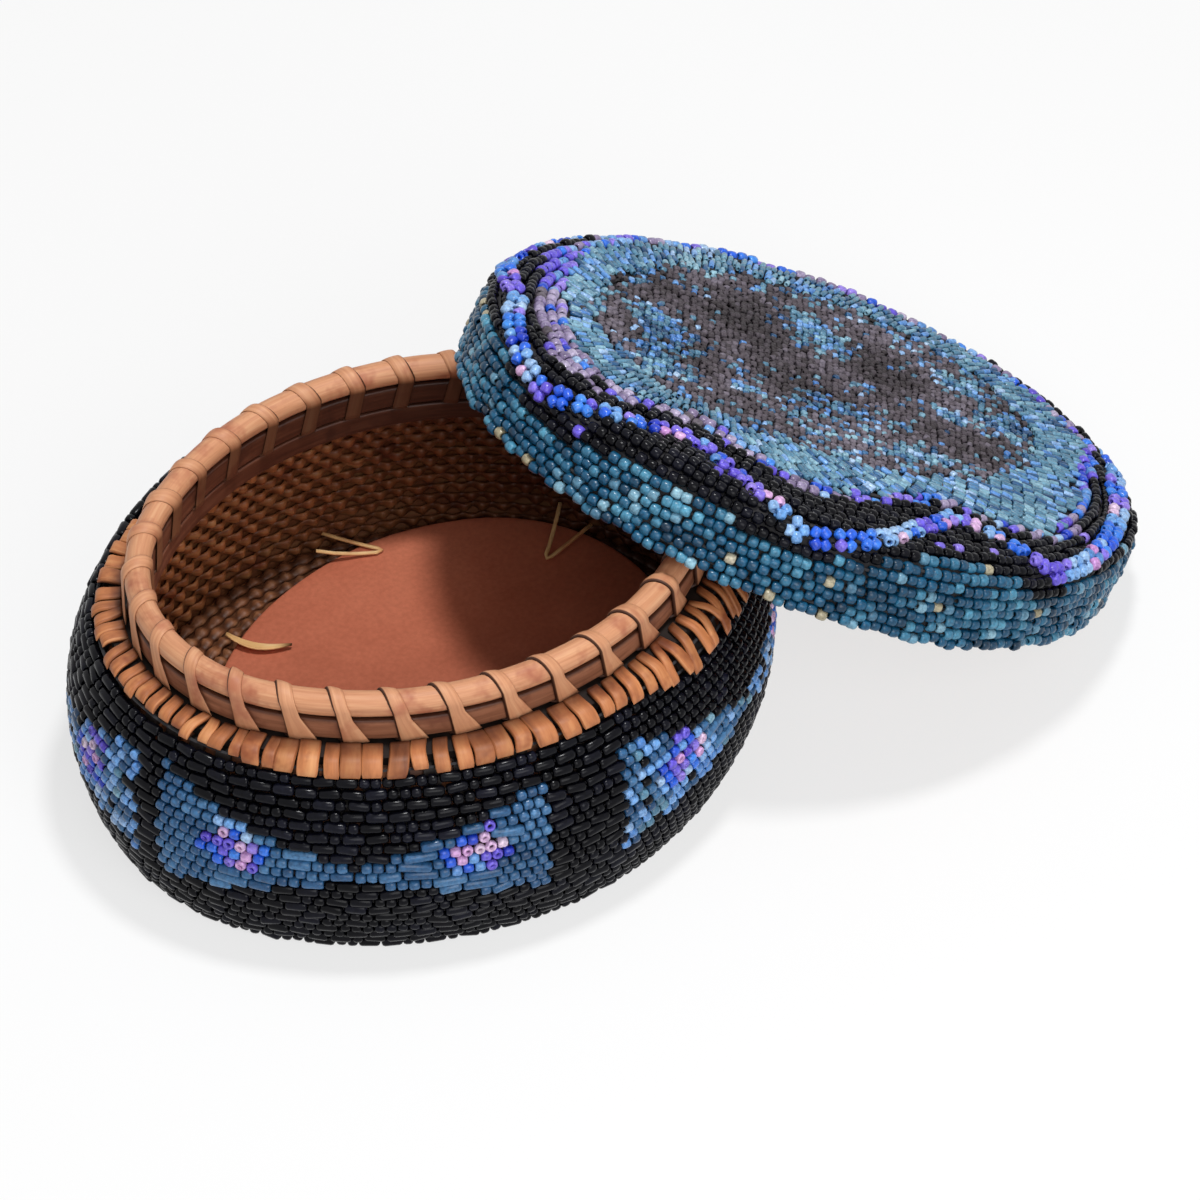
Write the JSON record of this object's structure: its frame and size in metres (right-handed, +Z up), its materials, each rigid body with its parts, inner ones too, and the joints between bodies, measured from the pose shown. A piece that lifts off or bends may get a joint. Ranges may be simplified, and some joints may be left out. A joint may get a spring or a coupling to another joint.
{
  "type": "beaded basket box",
  "caption": "Oval lidded rattan basket box skinned with strung glass bead rows, its lid taken off and leaning on the lashed rim.",
  "frame": {"origin": "middle of the base board's underside, on the table", "axes": "+Z up, +X along the long axis of the oval towards the end where the lid leans, +Y towards the back"},
  "size_m": [0.2386, 0.1318, 0.0895],
  "materials": {
    "board": "plain board",
    "liner": "smooth satin panel",
    "weave": "woven rattan, dull",
    "rattan_tan": "satin split rattan",
    "rattan_dark": "dull split rattan",
    "rattan_orange": "satin split rattan",
    "rattan_pale": "satin rattan rod",
    "beads_black": "opaque glossy glass",
    "beads_teal": "opaque glossy glass",
    "beads_aqua": "opaque glossy glass",
    "beads_taupe": "opaque glossy glass"
  },
  "bodies": {
    "box": {"base_board": "board", "floor_weave": "weave", "floor_liner": "liner", "base_hoop": "rattan_dark", "woven_wall": "weave", "wall_stakes": "rattan_tan", "weaver_ends": "rattan_pale", "shoulder_ring": "rattan_dark", "shoulder_folds": "rattan_orange", "neck_hoop": "rattan_dark", "collar_stakes": "rattan_dark", "collar_inner_band": "rattan_dark", "collar_outer_band": "rattan_tan", "rim_rod": "rattan_pale", "rim_lashing": "rattan_tan", "foot_beads": "beads_black", "motif_beads": "beads_teal", "shoulder_beads": "beads_black"},
    "lid": {"lid_inner_hoop": "rattan_tan", "lid_side_weave": "weave", "lid_skirt_band": "rattan_dark", "lid_edge_coil": "rattan_dark", "lid_top_panel": "weave", "lid_skirt_beads": "beads_teal", "lid_zigzag_beads": "beads_black", "lid_top_beads": "beads_aqua", "lid_medallion_beads": "beads_taupe"}
  },
  "joints": [
    {"name": "lid_lift", "type": "slide", "parent": "box", "child": "lid", "axis": [0, 0, 1], "range_m": [0, 0.14]}
  ]
}
